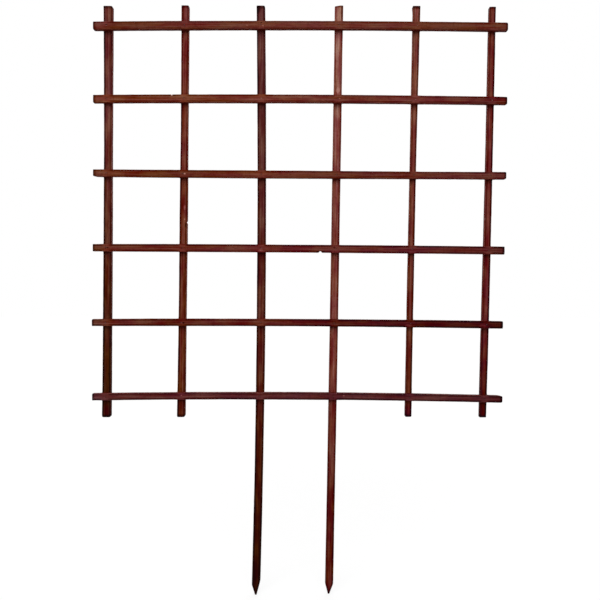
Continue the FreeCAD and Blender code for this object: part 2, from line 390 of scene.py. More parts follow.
def saw_blank(name):
    """A straight stick at the lath's place, its four long arrises eased and its sides in strips."""
    across = lath_middle(name)[1]
    start, end = lath_ends(name)
    size = in_frame(name, end - start, LATH_THICKNESS, SAWN_WIDTH)
    place = in_frame(name, (start + end) / 2, lath_depth(name), across)
    deselect_all()
    bpy.ops.mesh.primitive_cube_add(size=1, location=place, scale=size)
    blank = bpy.context.object
    blank.name = f"{name}_lath"
    bpy.ops.object.transform_apply(location=True, rotation=True, scale=True)
    bpy.ops.object.mode_set(mode="EDIT")
    bpy.context.tool_settings.mesh_select_mode = (False, True, False)
    pick_edges(lambda a, b: run_of(name, a, b) > LONG_EDGE)
    bpy.ops.mesh.bevel(offset=ARRIS * MM, segments=2, affect="EDGES")
    pick_edges(lambda a, b: run_of(name, a, b) < LONG_EDGE and (a - b).length > SIDE_EDGE * MM)
    bpy.ops.mesh.subdivide(number_cuts=STRIPS)
    return blank


def shape_lath(name):
    """Cuts rings across the stick and sets each ring's two edges where the real lath has them."""
    across = lath_middle(name)[1]
    start, end = lath_ends(name)
    axis = in_frame(name, 1, 0, 0).normalized()
    places = ring_places(name)
    bpy.context.tool_settings.mesh_select_mode = (True, False, False)
    for place in places[1:-1]:
        bpy.ops.mesh.select_all(action="SELECT")
        bpy.ops.mesh.bisect(
            plane_co=in_frame(name, place, lath_depth(name), across), plane_no=axis
        )
    for place in places:
        low, high = edge_place(name, -1, place), edge_place(name, 1, place)
        distance = min(place - start, end - place)
        thinner = 1 - 2 * corner_inset(distance, ARRIS, ARRIS, False) / LATH_THICKNESS
        narrower = (high - low) / SAWN_WIDTH
        pick_vertices(lambda point: abs(along_of(name, point) - place) < SAME_PLACE)
        bpy.ops.transform.resize(
            value=(1, thinner, narrower) if is_rail(name) else (narrower, thinner, 1),
            center_override=in_frame(name, place, lath_depth(name), across),
        )
        bpy.ops.transform.translate(value=in_frame(name, 0, 0, (low + high) / 2 - across))


def divide_lath(name):
    """Divides the long bays between the rings, so that the surface can take the saw's unevenness."""
    places = ring_places(name)
    bpy.context.tool_settings.mesh_select_mode = (False, True, False)
    for start, end in zip(places, places[1:]):
        cuts = math.ceil((end - start) / RING_GAP) - 1
        if cuts < 1:
            continue
        pick_edges(
            lambda a, b: min(along_of(name, a), along_of(name, b)) > start - SAME_PLACE
            and max(along_of(name, a), along_of(name, b)) < end + SAME_PLACE
            and run_of(name, a, b) > end - start - 2 * SAME_PLACE
        )
        bpy.ops.mesh.subdivide(number_cuts=cuts)


def divide_ends(name):
    """Divides the two flat ends into triangles, so that they are folded the same way each time."""
    ends = lath_ends(name)
    bpy.context.tool_settings.mesh_select_mode = (True, False, False)
    pick_vertices(
        lambda point: min(abs(along_of(name, point) - end) for end in ends) < SAME_PLACE
    )
    bpy.ops.mesh.quads_convert_to_tris(quad_method="BEAUTY", ngon_method="BEAUTY")


def mark_stain_and_shade(name, lath):
    """Writes on the mesh how far, in metres, each point lies from the lath's low and high arris, how
    much painted shadow lies there, which is on an upright just under each rail, and how fully an
    upright backs a rail there, because the arris of a backed rail gets no painted shade."""
    rests = resting_places(name)
    marks = {"from_low": [], "from_high": [], "rail_shadow": [], "backed": []}
    for vertex in lath.data.vertices:
        along = along_of(name, vertex.co)
        across = across_of(name, vertex.co)
        from_face = max(LATH_THICKNESS / 2 - abs(vertex.co.y / MM - lath_depth(name)), 0.0)
        marks["from_low"].append(max(across - edge_place(name, -1, along), from_face) * MM)
        marks["from_high"].append(max(edge_place(name, 1, along) - across, from_face) * MM)
        # Painted shadow on an upright's face just under each rail, darkest at the rail; and how fully
        # an upright backs a rail.
        rail_shadow, backed = 0.0, 0.0
        if is_rail(name):
            from_rest = min(abs(along - rest) for rest in rests)
            backed = min(max((BACKED_REACH - from_rest) / BACKED_FADE, 0.0), 1.0)
        elif vertex.co.y < SHADOW_DEPTH * MM:
            for rail in RAILS:
                below = edge_place(rail, -1, across) - along
                if -SHADOW_BEHIND < below < SHADOW_REACH:
                    rail_shadow = 1 - max(below, 0.0) / SHADOW_REACH
        marks["rail_shadow"].append(rail_shadow)
        marks["backed"].append(backed)
    for mark, values in marks.items():
        lath.data.attributes.new(mark, "FLOAT", "POINT").data.foreach_set("value", values)


def roughen(name, lath):
    """Wears the surface inwards: in long hollows, finely from the saw, and most at the arrises.
    Where another lath lies on it, the face stays flat."""
    rests = resting_places(name)
    free, arris = [], []
    low, high, backed = (
        lath.data.attributes[mark].data for mark in ("from_low", "from_high", "backed")
    )
    for vertex in lath.data.vertices:
        along = along_of(name, vertex.co)
        rested = any(abs(along - rest) < REST_REACH for rest in rests)
        if not (rested and abs(vertex.co.y) < REST_DEPTH * MM):
            free.append(vertex.index)
            from_edge = min(low[vertex.index].value, high[vertex.index].value)
            if from_edge + backed[vertex.index].value * GUARD * MM < ARRIS_REACH * MM:
                arris.append(vertex.index)
    lath.vertex_groups.new(name="free").add(free, 1.0, "REPLACE")
    lath.vertex_groups.new(name="arris").add(arris, 1.0, "REPLACE")
    work_on(lath)
    seed = (RAILS + UPRIGHTS).index(name)
    for group, long_size, cross_size, deep in HOLLOWS:
        stretch = bpy.data.objects.new("stretch", None)
        bpy.context.scene.collection.objects.link(stretch)
        stretch.scale = in_frame(name, long_size, cross_size, cross_size)
        stretch.location = Vector(HOLLOW_STEP) * (seed + 1)
        bpy.context.view_layer.update()
        waver = bpy.data.textures.new("waver", "CLOUDS")
        waver.noise_scale = 1.0
        waver.noise_depth = 1
        press = lath.modifiers.new("wear", "DISPLACE")
        press.texture = waver
        press.texture_coords = "OBJECT"
        press.texture_coords_object = stretch
        press.vertex_group = group
        press.mid_level = 1.0
        press.strength = deep * MM
        bpy.ops.object.modifier_apply(modifier=press.name)
        bpy.data.objects.remove(stretch)
    lath.vertex_groups.clear()


def model_brad(name, room, reach):
    """A T-headed gun brad: a flat shank, a chisel point at +Y and a head whose top reaches forward."""
    deselect_all()
    shank_start = BRAD_HEAD_DEPTH + room
    shank = BRAD_LENGTH - BRAD_HEAD_DEPTH
    size = Vector((BRAD_SHANK + 2 * room, shank, BRAD_WIDTH + 2 * room)) * MM
    place = Vector((0, shank_start + shank / 2, 0)) * MM
    bpy.ops.mesh.primitive_cube_add(size=1, location=place, scale=size)
    brad = bpy.context.object
    brad.name = name
    bpy.ops.object.transform_apply(location=True, rotation=True, scale=True)
    bpy.ops.object.mode_set(mode="EDIT")
    bpy.context.tool_settings.mesh_select_mode = (True, False, False)
    end = (shank_start + shank) * MM
    bpy.ops.mesh.select_all(action="SELECT")
    bpy.ops.mesh.bisect(plane_co=(0, end - BRAD_POINT * MM, 0), plane_no=(0, 1, 0))
    pick_vertices(lambda point: point.y > end - SAME_PLACE * MM)
    thin, narrow = BRAD_CHISEL
    bpy.ops.transform.resize(value=(thin, 1, narrow), center_override=(0, end, 0))
    pick_vertices(lambda point: point.y < (shank_start + SAME_PLACE) * MM)
    bpy.ops.mesh.extrude_region_move()
    spread = (BRAD_HEAD_SPAN + 2 * room) / (BRAD_SHANK + 2 * room)
    bpy.ops.transform.resize(value=(spread, 1, 1), center_override=(0, shank_start * MM, 0))
    bpy.ops.mesh.extrude_region_move(
        TRANSFORM_OT_translate={"value": (0, -(shank_start + reach) * MM, 0)}
    )
    return brad


def ease_head():
    """Rounds the struck face of the head of the brad in edit mode."""
    bpy.context.tool_settings.mesh_select_mode = (False, True, False)
    pick_edges(lambda a, b: max(a.y, b.y) < SAME_PLACE * MM)
    bpy.ops.mesh.bevel(offset=BRAD_EASING * MM, segments=2, affect="EDGES")


def close_model(angle):
    """Turns the faces of the piece in edit mode outwards, leaves edit mode, and shades the piece
    smooth, but for edges that turn by more than the angle."""
    bpy.ops.mesh.select_all(action="SELECT")
    bpy.ops.mesh.normals_make_consistent(inside=False)
    bpy.ops.object.mode_set(mode="OBJECT")
    bpy.ops.object.shade_smooth_by_angle(angle=math.radians(angle))


def repeat_at(pattern, name, places):
    """Copies a modelled piece to each place and joins the copies."""
    copies = []
    for place in places:
        copy = pattern.copy()
        copy.data = pattern.data.copy()
        bpy.context.scene.collection.objects.link(copy)
        copy.location = place
        copies.append(copy)
    deselect_all()
    for copy in copies:
        copy.select_set(True)
    bpy.context.view_layer.objects.active = copies[0]
    bpy.ops.object.transform_apply(location=True, rotation=False, scale=False)
    bpy.ops.object.join()
    copies[0].name = name
    return copies[0]


def cut_away(piece, cutter):
    """Takes the cutter's shape out of the piece, and removes the cutter."""
    work_on(piece)
    cut = piece.modifiers.new("cut", "BOOLEAN")
    cut.operation = "DIFFERENCE"
    cut.solver = "EXACT"
    cut.object = cutter
    bpy.ops.object.modifier_apply(modifier=cut.name)
    bpy.data.objects.remove(cutter)


def model_notch(name, along, side, width, depth):
    """A wedge that stands across the lath's low or high edge, to cut a splinter's gap that is so
    wide at the edge and goes so deep into it."""
    deselect_all()
    bpy.ops.mesh.primitive_cylinder_add(
        vertices=3, radius=1, depth=WEDGE_LENGTH * MM, rotation=(math.pi / 2, 0, 0)
    )
    wedge = bpy.context.object
    wedge.name = "wedge"
    bpy.ops.object.transform_apply(location=True, rotation=True, scale=True)
    top = max(vertex.co.z for vertex in wedge.data.vertices)
    bottom = min(vertex.co.z for vertex in wedge.data.vertices)
    widest = max(vertex.co.x for vertex in wedge.data.vertices)
    bpy.ops.object.mode_set(mode="EDIT")
    bpy.ops.mesh.select_all(action="SELECT")
    bpy.ops.transform.translate(value=(0, 0, -top))
    tall = 2 * depth * MM / (top - bottom)
    bpy.ops.transform.resize(value=(width * MM / widest, 1, tall), center_override=(0, 0, 0))
    bpy.ops.transform.translate(value=(0, 0, depth * MM))
    close_model(angle=30)
    inwards = in_frame(name, 0, 0, -side)
    wedge.rotation_euler = (0, math.atan2(inwards.x, inwards.z), 0)
    wedge.location = in_frame(name, along, lath_depth(name), edge_place(name, side, along))
    bpy.ops.object.transform_apply(location=True, rotation=True, scale=True)
    return wedge


def build_lath(name):
    lath = saw_blank(name)
    shape_lath(name)
    divide_lath(name)
    divide_ends(name)
    close_model(angle=50)
    mark_stain_and_shade(name, lath)
    roughen(name, lath)
    return lath


# Finishes


def linear(colour):
    """An sRGB hex colour as the linear colour that Blender works in."""
    values = [int(colour[place : place + 2], 16) / 255 for place in (0, 2, 4)]
    return [v / 12.92 if v <= 0.04045 else ((v + 0.055) / 1.055) ** 2.4 for v in values] + [1]


def add_node(tree, kind, settings=None, inputs=None, stops=None):
    """Adds a node with its settings, its inputs and its colour stops. An input is either a fixed
    value or the output of another node, which is then linked to it."""
    node = tree.nodes.new("ShaderNode" + kind)
    for name, value in (settings or {}).items():
        setattr(node, name, value)
    for name, value in (inputs or {}).items():
        if isinstance(value, bpy.types.NodeSocket):
            tree.links.new(value, node.inputs[name])
        else:
            node.inputs[name].default_value = value
    if stops:
        ramp = node.color_ramp
        while len(ramp.elements) < len(stops):
            ramp.elements.new(0.5)
        for element, (place, colour) in zip(ramp.elements, stops):
            element.position = place
            element.color = colour
    return node


def empty_material(name):
    material = bpy.data.materials.new(name)
    material.use_nodes = True
    material.node_tree.nodes.clear()
    return material


# Oil stain on redwood, from where it has pooled and gone nearly black to where the wood shows pink.
# The painted shade along the arrises darkens the wood along this same scale.
STAIN = (
    (0.0, "180302"),
    (0.15, "300a05"),
    (0.30, "441507"),
    (0.45, "562317"),
    (0.60, "69362b"),
    (0.75, "7e463c"),
    (0.90, "98665c"),
    (1.0, "ab7c70"),
)

# The stain's colour in shade, painted on as shade on the sawn sides and as a painted shadow in the
# corners under the rails.
SHADED_STAIN = (
    (0.0, "1a0200"),
    (0.35, "430b04"),
    (0.60, "6a180a"),
    (0.85, "833020"),
)

# Stained steel, from where the stain covers it to the bare wire, by the level of the noise. The
# spots are STEEL_SPOT long, and BARE_METAL is how metallic the bare wire still is.
SPOTTED_STEEL = ((0.45, "2c0d07"), (0.58, "52261c"), (0.68, "8a6a5c"))
STEEL_SPOT = 30.0
BARE_METAL = 0.7

# How each lath is coloured: its tone at even places from the near end to the far end, how far its hue
# turns from the common one, in degrees, and how rich the colour is, each near and far, and how much
# painted shade darkens it towards its low arris and its high arris. The tones grow darker towards the
# ground.
STAIN_AND_SHADE = {
    "top_rail": ((0.48, 0.56, 0.59, 0.60, 0.55, 0.53), (-1, 1), (1.05, 1.03), 0.11, 0.17),
    "second_rail": ((0.60, 0.62, 0.64, 0.58, 0.60, 0.44), (3, -4), (1.14, 0.98), 0.18, 0.27),
    "third_rail": ((0.55, 0.50, 0.60, 0.48, 0.53, 0.46), (2, -3), (1.12, 1.00), 0.07, 0.20),
    "fourth_rail": ((0.55, 0.54, 0.56, 0.52, 0.48, 0.42), (-1, -7), (1.09, 0.96), 0.31, 0.38),
    "fifth_rail": ((0.52, 0.45, 0.51, 0.37, 0.30, 0.26), (0, -6), (1.06, 1.00), 0.29, 0.23),
    "bottom_rail": ((0.40, 0.47, 0.42, 0.41, 0.39, 0.33), (-6, -8), (0.93, 0.89), 0.30, 0.25),
    "left_outer_upright": ((0.20, 0.36, 0.49, 0.61, 0.46), (6, -4), (1.06, 0.95), 0.46, 0.27),
    "left_inner_upright": ((0.47, 0.51, 0.56, 0.59, 0.58), (2, -4), (1.07, 1.08), 0.36, 0.24),
    "left_stake": ((0.07, 0.24, 0.42, 0.41, 0.45, 0.49), (2, -3), (1.11, 0.87), 0.33, 0.28),
    "right_stake": ((0.38, 0.44, 0.66, 0.64, 0.76, 0.83), (-3, -1), (1.05, 1.03), 0.20, 0.27),
    "right_inner_upright": ((0.43, 0.57, 0.63, 0.67, 0.66), (0, 0), (1.09, 1.04), 0.25, 0.40),
    "right_outer_upright": ((0.29, 0.54, 0.54, 0.59, 0.57), (-6, -2), (1.03, 1.08), 0.25, 0.43),
}

# How the weather has changed each lath's two ends, near and far: how much paler or darker, how far
# the hue turns, in degrees, and how much richer the colour is. It sets in ENDS_START from the end
# and is full from ENDS_FULL outwards.
ENDS = {
    "top_rail": ((0.15, 1, -0.05), (0.0, 0, 0.0)),
    "second_rail": ((0.07, 0, -0.03), (0.03, 1, 0.12)),
    "third_rail": ((0.06, 1, -0.07), (-0.07, -4, -0.01)),
    "fourth_rail": ((0.0, 3, -0.05), (0.0, 6, 0.0)),
    "fifth_rail": ((0.03, 2, -0.12), (0.0, 2, 0.0)),
    "bottom_rail": ((0.02, -6, -0.06), (0.0, 4, 0.05)),
    "left_outer_upright": ((0.05, -9, -0.03), (0.09, 4, 0.04)),
    "left_inner_upright": ((-0.05, -1, 0.0), (0.03, 1, -0.04)),
    "left_stake": ((0.0, 0, 0.0), (-0.06, -3, 0.02)),
    "right_stake": ((0.0, 0, 0.0), (0.03, 2, 0.0)),
    "right_inner_upright": ((-0.10, -12, -0.05), (0.09, 0, -0.05)),
    "right_outer_upright": ((-0.02, -2, 0.14), (0.0, 0, 0.0)),
}
ENDS_START = 40.0
ENDS_FULL = 10.0

# The stain has gone deeper at the ends, and painted shade darkens a band along each arris: from where
# the darker bands set in and from where they are full. A painted highlight makes the very arris pale
# again, more in some places than in others, and the last pair is how many times over it undoes the
# band there, least and most.
ARRIS_BAND = 5.2
FULL_BAND = 2.6
END_BAND = 6.0
FULL_END_BAND = 2.4
END_SOAK = 0.28
HIGHLIGHT_BAND = 1.4
FULL_HIGHLIGHT = 0.5
ARRIS_HIGHLIGHT = (0.85, 1.87)

# The sawn sides get SIDE_BAND of those bands, and the number after it is the share of the stain's
# shaded colour painted on them as shade. A rail's bands set in BACKED_REACH from the middle of a
# crossing, over a length of BACKED_FADE.
SIDE_BAND = 0.35
SIDE_SHADE_SHARE = 0.85
BACKED_REACH = 11.2
BACKED_FADE = 7.0

# How squarely a surface faces the front or back where it starts to count as a side and where it is
# one, and how squarely it faces the ends where it starts to count as end grain and where it is.
SIDEWAYS = (0.97, 0.6)
ENDWAYS = (0.6, 0.95)

# Where a painted shadow lies on an upright under each rail: how far below a rail, how far up behind
# it, and how deep round the upright's edges. The last number is the share of the stain's shaded colour
# that the painted shadow takes.
SHADOW_REACH = 6.0
SHADOW_BEHIND = 4.0
SHADOW_DEPTH = 3.0
SHADOW_SHARE = 0.5

# What shifts the stain's tone from place to place, in real millimetres along and across the lath:
# from which level of the noise to which it sets in, and how much paler or darker it makes the wood.
# Real fibres and pores are a tenth of a millimetre wide, too fine to show in the render, so they
# are drawn as coarse as they need to show.
FLECKS = {
    "streaks": (95.0, 3.0, 0.3, 0.7, 0.15),
    "patches": (40.0, 11.0, 0.3, 0.7, 0.14),
    "fibres": (26.0, 0.5, 0.3, 0.7, 0.10),
    "pores": (7.0, 0.4, 0.58, 0.70, -0.16),
    "saw_marks": (1.4, 34.0, 0.50, 0.80, -0.08),
}

# Each lath's flecks start FLECK_STEP further along the pattern and its rings LOG_STEP further along
# the tree, so that no two are alike. The pith of the tree lay behind the lath and to one side: how
# far at least, in what steps, and after how many laths it repeats.
FLECK_STEP = 977.0
FLECK_DEPTH = 63.0
LOG_STEP = 500.0
PITH_BEHIND = (14.0, 3.0, 4)
PITH_ASIDE = (-24.0, 9.0, 6)

# The growth rings: how far apart they are, how long they run before they change, and how much paler
# or darker they show on the faces and on the end grain, which is a little paler than the faces.
# Blender's own rings repeat every WAVE_REPEAT.
RING_SPACING = 2.6
RING_LENGTH = 150.0
RING_TONE = 0.06
RING_LEVELS = (0.5, 1.0)
END_RING_TONE = -0.30
END_RING_LEVELS = (0.4, 0.9)
END_GRAIN_TONE = 0.10
WAVE_REPEAT = 0.314

# MIDDLING is what all the shifts add up to on the middle of a face, which the tones leave out.
# HUE_SPREAD is how far the hue turns from patch to patch, in degrees, and RICH_SPREAD how much the
# richness of the colour varies from streak to streak. At HALF_TURN Blender leaves a hue as it is.
# FIBRE_RELIEF is how deep the fibres lie between their ridges, and RELIEF how much deeper the saw
# marks and the pores go. The wood is dull, and a little less so where its streaks are pale.
MIDDLING = 0.163
HUE_SPREAD = 8
RICH_SPREAD = 0.12
HALF_TURN = 0.5
FIBRE_RELIEF = 0.25
RELIEF = {"saw_marks": 0.5, "pores": 0.8}
DULL, LESS_DULL = 0.85, 0.6

# What share of the streaks and patches shows on the laths that took the stain more evenly.
BROAD_FLECKS = ("streaks", "patches")
EVENNESS = {
    "top_rail": 0.4,
    "second_rail": 0.65,
    "third_rail": 0.7,
    "fourth_rail": 0.6,
    "fifth_rail": 0.6,
    "bottom_rail": 0.7,
    "right_inner_upright": 0.8,
    "right_outer_upright": 0.8,
}

# Single marks on the fronts: where along the lath and off its middle line, how long and how wide, and
# how much paler or darker. Most lie at a brad: the pale ones there are painted glints of the brad
# heads and the dark ones painted shade in the dimples round them. They go MARK_DEPTH deep and fade
# over MARK_FADE, where 1 is their rim.
MARK_DEPTH = 4.0
MARK_FADE = (1.0, 0.4)
MARKS = {
    "top_rail": (
        (-393.7, 1.6, 4, 3, -0.5),
        (-75.0, -2.0, 5, 3, 0.25),
        (-107.0, -1.5, 5, 2.4, 0.2),
        (-78.6, 4.0, 4.5, 3, -0.45),
    ),
    "second_rail": (
        (81.9, 0.0, 4.6, 3.2, 0.3),
        (-260.9, 6.4, 5, 4.5, 0.45),
        (-265.5, 6.4, 5, 4, -0.3),
        (-255.0, 6.4, 7, 4, -0.3),
    ),
    "third_rail": ((-233.8, -0.3, 5.6, 4.4, 0.5),),
    "fourth_rail": (
        (-391.6, 0.4, 4.6, 3, -0.5),
        (-78.0, -3.6, 12, 4, 0.25),
        (38.5, -6.0, 7, 5, -0.3),
        (50.5, -6.0, 7, 5, -0.3),
        (72.7, 2.8, 8, 4, -0.25),
    ),
    "fifth_rail": (
        (-235.8, -1.0, 5.5, 4, -0.5),
        (-240.0, -0.5, 4.2, 3, 0.3),
        (225.4, -4.0, 18, 9, 0.22),
        (379.2, -2.5, 20, 12, 0.20),
    ),
    "bottom_rail": ((-239.9, 1.5, 4.6, 3.2, 0.35), (94.2, 1.8, 6.0, 3.4, 0.35)),
    "left_inner_upright": (
        (806.0, 2.3, 14, 6, 0.25),
        (770.0, 5.0, 12, 6, -0.3),
        (782.0, 2.6, 5, 4, 0.2),
    ),
    "left_stake": ((1212.0, -6.0, 22, 14, -0.3),),
    "right_stake": ((1206.0, 6.4, 40, 9, -0.25), (1048.0, 0.0, 16, 9, 0.3)),
    "right_inner_upright": ((1217.0, 0.0, 9, 30, -0.25),),
}


def place_on_lath(tree, point, sizes, lean=0.0):
    """The place on a lath as seen from a point of it, measured in sizes of its own."""
    place = add_node(tree, "TexCoord").outputs["Object"]
    return add_node(
        tree,
        "Mapping",
        {"vector_type": "TEXTURE"},
        {"Vector": place, "Location": point, "Rotation": (0, lean, 0), "Scale": sizes},
    ).outputs[0]


def shifted(tree, value, cause, start, full, amount):
    """The value, moved by the amount where the cause has fully set in, and left as it is where the
    cause hasn't started."""
    share = add_node(
        tree,
        "MapRange",
        {"interpolation_type": "SMOOTHSTEP"},
        {"Value": cause, "From Min": start, "From Max": full},
    ).outputs[0]
    return add_node(
        tree, "Math", {"operation": "MULTIPLY_ADD"}, {0: share, 1: amount, 2: value}
    ).outputs[0]


def wood_grain(tree, name):
    """The lath's own grain, which leans as the lath does: its growth rings, and each kind of fleck
    as the noise behind it and the levels between which it sets in."""
    middle, across = lath_middle(name)
    seed = (RAILS + UPRIGHTS).index(name)
    lean = math.atan2(LIES[name][2], lath_length(name)) * (-1 if is_rail(name) else 1)
    flecks = {}
    for fleck, (long_size, cross_size, start, full, _) in FLECKS.items():
        origin = in_frame(name, middle - FLECK_STEP * (seed + 1), -FLECK_DEPTH, across)
        sizes = in_frame(name, long_size, cross_size, cross_size)
        place = place_on_lath(tree, origin, sizes, lean)
        noise = add_node(
            tree,
            "TexNoise",
            inputs={"Vector": place, "Scale": 1.0, "Detail": 2.0, "Roughness": 0.5},
        )
        flecks[fleck] = (noise.outputs[0], start, full)
    behind, aside = [
        least + step * (seed % count) for least, step, count in (PITH_BEHIND, PITH_ASIDE)
    ]
    pith = in_frame(name, middle - LOG_STEP * seed, behind, across + aside)
    width = RING_SPACING / WAVE_REPEAT
    place = place_on_lath(tree, pith, in_frame(name, RING_LENGTH, width, width), lean)
    rings = add_node(
        tree,
        "TexWave",
        {"wave_type": "RINGS", "rings_direction": "X" if is_rail(name) else "Z"},
        {"Vector": place, "Scale": 1.0, "Distortion": 0.8, "Detail": 1.0},
    ).outputs["Fac"]
    return flecks, rings


def lath_faces(tree, name):
    """How far along the lath a point lies, from -1 to 1, and how squarely the surface there faces
    the front or the back, and the ends."""
    middle, across = lath_middle(name)
    axis = "X" if is_rail(name) else "Z"
    sizes = in_frame(name, lath_length(name) / 2, 1, 1)
    place = place_on_lath(tree, in_frame(name, middle, 0, across), sizes)
    along = add_node(tree, "SeparateXYZ", inputs={0: place}).outputs[axis]
    normal = add_node(tree, "TexCoord").outputs["Normal"]
    ways = add_node(tree, "SeparateXYZ", inputs={0: normal}).outputs
    front, end = [
        add_node(tree, "Math", {"operation": "ABSOLUTE"}, {0: ways[way]}).outputs[0]
        for way in ("Y", axis)
    ]
    return along, front, end


def weathered_ends(tree, name, along, value, shifts):
    """The value, moved by its own shift towards the near end and towards the far end."""
    half = lath_length(name) / 2
    for way, shift in zip((-1, 1), shifts):
        start, full = way * (1 - ENDS_START / half), way * (1 - ENDS_FULL / half)
        value = shifted(tree, value, along, start, full, shift)
    return value


def arris_bands(tree, name, tone, flecks, front):
    """The tone, darker along both arrises with painted shade, less so on the sawn sides and not at all
    where an upright backs a rail, and paler again with a painted highlight on the very arris."""
    least, most = ARRIS_HIGHLIGHT
    backed = add_node(tree, "Attribute", {"attribute_name": "backed"}).outputs["Fac"]
    for attribute, depth in zip(("from_low", "from_high"), STAIN_AND_SHADE[name][3:]):
        distance = add_node(tree, "Attribute", {"attribute_name": attribute}).outputs["Fac"]
        # Painted shade in a band along the arris, undone and passed by a painted highlight on the very
        # arris.
        arris_shade = shifted(tree, 0.0, distance, ARRIS_BAND * MM, FULL_BAND * MM, 1.0)
        highlight = shifted(tree, -least, *flecks["patches"], least - most)
        arris_shade = shifted(tree, arris_shade, distance, HIGHLIGHT_BAND * MM, FULL_HIGHLIGHT * MM, highlight)
        depth = shifted(tree, -depth, front, *SIDEWAYS, depth * (1 - SIDE_BAND))
        depth = shifted(tree, 0.0, backed, 1.0, 0.0, depth)
        tone = add_node(
            tree, "Math", {"operation": "MULTIPLY_ADD"}, {0: arris_shade, 1: depth, 2: tone}
        ).outputs[0]
    return tone


def stain_and_shade_tone(tree, name, flecks, rings, faces):
    """How pale the stain is, from 0 where it is nearly black to 1 where the wood shows pink, with
    painted shade along the arrises and painted glints and shade at the brads.
    """
    tones = STAIN_AND_SHADE[name][0]
    half = lath_length(name) / 2
    along, front, end = faces
    climb = add_node(tree, "MapRange", inputs={"Value": along, "From Min": -1.0}).outputs[0]
    stops = [(step / (len(tones) - 1), (tone, tone, tone, 1)) for step, tone in enumerate(tones)]
    tone = add_node(tree, "ValToRGB", inputs={0: climb}, stops=stops).outputs[0]
    evenness = EVENNESS.get(name, 1.0)
    for fleck, (*_, amount) in FLECKS.items():
        share = evenness if fleck in BROAD_FLECKS else 1.0
        tone = shifted(tree, tone, *flecks[fleck], amount * share)
    tone = weathered_ends(tree, name, along, tone, [paler for paler, _, _ in ENDS[name]])
    tone = shifted(tree, tone, rings, *RING_LEVELS, RING_TONE)
    tone = arris_bands(tree, name, tone, flecks, front)
    from_middle = add_node(tree, "Math", {"operation": "ABSOLUTE"}, {0: along}).outputs[0]
    tone = shifted(
        tree, tone, from_middle, 1 - END_BAND / half, 1 - FULL_END_BAND / half, -END_SOAK
    )
    tone = shifted(tree, tone, end, *ENDWAYS, END_GRAIN_TONE)
    ring_shift = shifted(tree, 0.0, end, *ENDWAYS, END_RING_TONE)
    tone = shifted(tree, tone, rings, *END_RING_LEVELS, ring_shift)
    face = -LATH_THICKNESS if is_rail(name) else 0.0
    # Marks: at the brads, painted glints of the heads and painted shade in their dimples.
    for spot, off, long_size, cross_size, amount in MARKS.get(name, ()):
        line = lath_middle(name)[1] + drift(name, spot)
        sizes = in_frame(name, long_size / 2, MARK_DEPTH, cross_size / 2)
        place = place_on_lath(tree, in_frame(name, spot, face, line + off), sizes)
        reach = add_node(tree, "VectorMath", {"operation": "LENGTH"}, {0: place})
        tone = shifted(tree, tone, reach.outputs["Value"], *MARK_FADE, amount)
    unshown = (1 - evenness) * sum(FLECKS[fleck][-1] for fleck in BROAD_FLECKS) / 2
    return add_node(
        tree, "Math", {"operation": "SUBTRACT", "use_clamp": True}, {0: tone, 1: MIDDLING - unshown}
    ).outputs[0]


def stain_and_shade_colour(tree, name, flecks, faces, tone):
    """The colour of the stain: its hue turns and its richness varies along the lath and from patch to
    patch, and the stain's shaded colour is painted on as shade on the sawn sides and as a painted
    shadow on the uprights under the rails."""
    _, hues, richness, *_ = STAIN_AND_SHADE[name]
    along, front, _ = faces
    turns = [HALF_TURN + (hue - HUE_SPREAD / 2) / 360 for hue in hues]
    turn, rich = [
        add_node(
            tree,
            "MapRange",
            inputs={"Value": along, "From Min": -1.0, "To Min": near, "To Max": far},
        ).outputs[0]
        for near, far in (turns, [share - RICH_SPREAD / 2 for share in richness])
    ]
    turn = weathered_ends(tree, name, along, turn, [hue / 360 for _, hue, _ in ENDS[name]])
    turn = shifted(tree, turn, *flecks["patches"], HUE_SPREAD / 360)
    rich = weathered_ends(tree, name, along, rich, [richer for _, _, richer in ENDS[name]])
    rich = add_node(
        tree,
        "Math",
        {"operation": "MULTIPLY_ADD"},
        {0: flecks["fibres"][0], 1: RICH_SPREAD * 2, 2: rich},
    ).outputs[0]
    rich = shifted(tree, rich, *flecks["streaks"], -RICH_SPREAD)
    # The stain's colour, and its colour in shade for the painted shade and painted shadow.
    colour, deep = [
        add_node(
            tree,
            "ValToRGB",
            inputs={0: tone},
            stops=[(level, linear(colour)) for level, colour in stain],
        ).outputs[0]
        for stain in (STAIN, SHADED_STAIN)
    ]
    colour = add_node(
        tree, "HueSaturation", inputs={"Hue": turn, "Saturation": rich, "Color": colour}
    ).outputs[0]
    # Painted shade on the sawn sides and painted shadow under the rails.
    rail_shadow = add_node(tree, "Attribute", {"attribute_name": "rail_shadow"}).outputs["Fac"]
    rail_shadow = add_node(tree, "Math", {"operation": "MULTIPLY"}, {0: rail_shadow, 1: SHADOW_SHARE})
    side_shade = shifted(tree, 0.0, front, *SIDEWAYS, SIDE_SHADE_SHARE)
    for share in (side_shade, rail_shadow.outputs[0]):
        colour = add_node(
            tree, "Mix", {"data_type": "RGBA"}, {0: share, 6: colour, 7: deep}
        ).outputs[2]
    return colour


